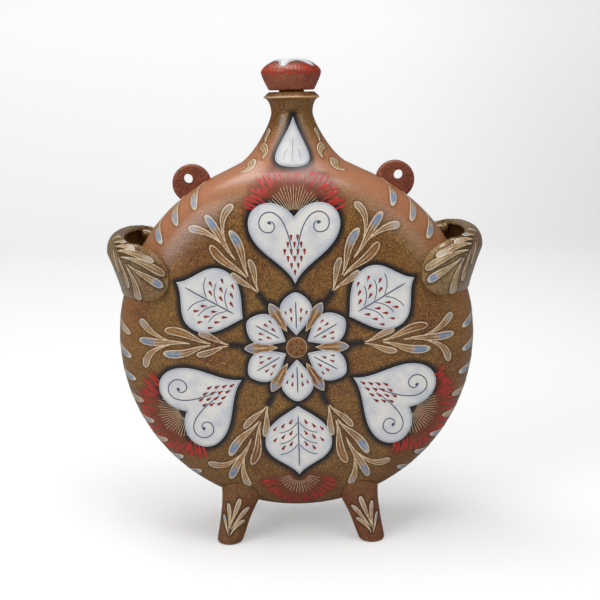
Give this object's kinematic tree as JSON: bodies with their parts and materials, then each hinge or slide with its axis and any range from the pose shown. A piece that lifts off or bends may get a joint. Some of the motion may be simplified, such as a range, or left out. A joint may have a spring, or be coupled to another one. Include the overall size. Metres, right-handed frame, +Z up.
{
  "type": "pilgrim flask",
  "caption": "Flat round stoneware pilgrim flask on four feet, with a flared neck, lift-out corked stopper, two pierced cord lugs and two hollow side handles.",
  "frame": {"origin": "on the ground, at the middle of the flask's outline seen from above", "axes": "+Z up through the neck, -Y out of the decorated front face, +X towards the right-hand handle seen from the front"},
  "size_m": [0.264, 0.1, 0.3392],
  "materials": {
    "stoneware": "speckled ochre-brown stoneware with a thin satin salt glaze",
    "handle_stoneware": "olive-brown stoneware with a glossier salt glaze",
    "lug_stoneware": "red-brown slip under a satin salt glaze",
    "knob_stoneware": "speckled brown stoneware with a satin salt glaze",
    "cork": "plain cork"
  },
  "bodies": {
    "flask": {"front_shell": "stoneware", "left_belt": "stoneware", "right_belt": "stoneware", "back_shell": "stoneware", "neck": "stoneware", "left_handle": "handle_stoneware", "right_handle": "handle_stoneware", "left_cord_lug": "lug_stoneware", "right_cord_lug": "lug_stoneware", "front_left_foot": "stoneware", "front_right_foot": "stoneware", "back_left_foot": "stoneware", "back_right_foot": "stoneware"},
    "stopper": {"stopper_knob": "knob_stoneware", "stopper_cork": "cork"}
  },
  "joints": [
    {"name": "stopper_lift", "type": "slide", "parent": "flask", "child": "stopper", "axis": [0, 0, 1], "range_m": [0, 0.035]}
  ]
}
